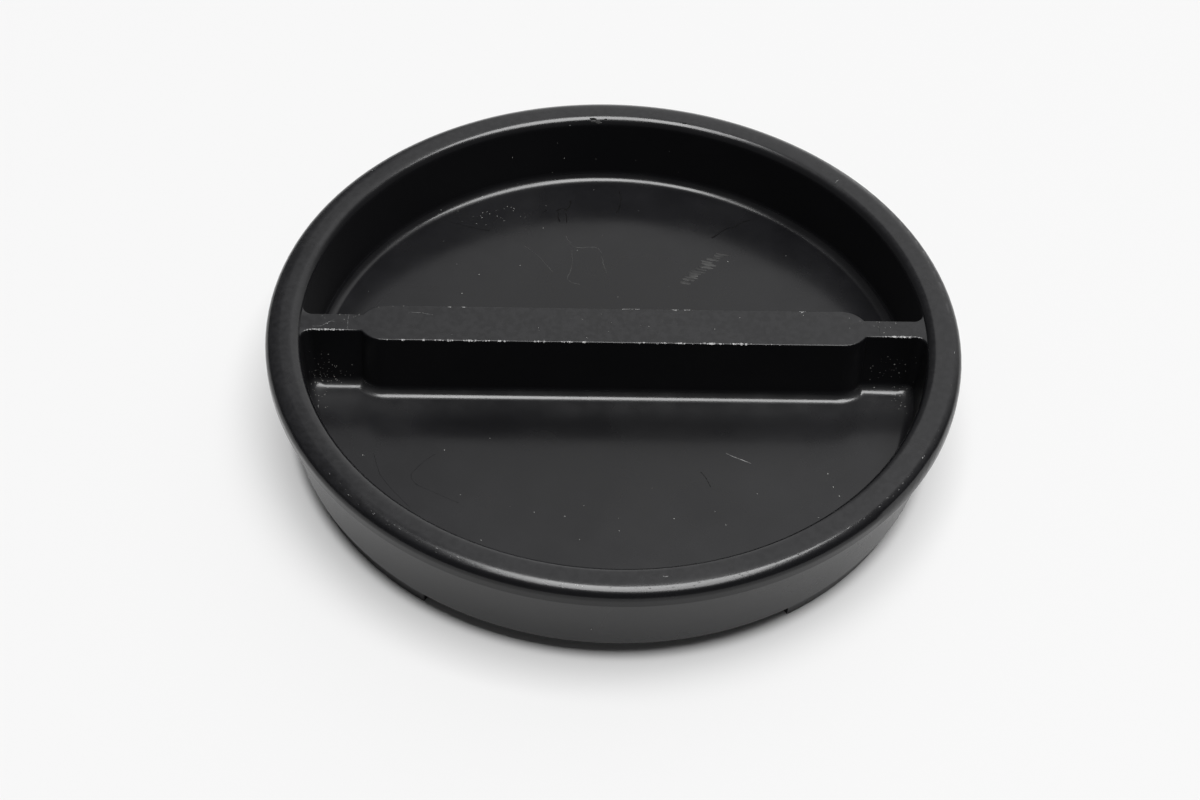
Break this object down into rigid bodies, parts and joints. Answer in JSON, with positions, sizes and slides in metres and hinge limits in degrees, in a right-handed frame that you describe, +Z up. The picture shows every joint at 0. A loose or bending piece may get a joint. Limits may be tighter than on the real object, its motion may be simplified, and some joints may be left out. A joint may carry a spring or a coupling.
{
  "type": "camera body cap",
  "caption": "Round moulded cap that closes a camera's lens opening: a rimmed dish with a grip bar across it, a recessed skirt and bayonet lugs below.",
  "frame": {"origin": "middle of the plane that the cap rests on, under its spigot and lugs", "axes": "+Z up out of the dish, X along the grip bar"},
  "size_m": [0.084, 0.084, 0.0144],
  "materials": {
    "black_plastic": "satin"
  },
  "bodies": {
    "root": {"body_cap": "black_plastic"}
  },
  "joints": []
}
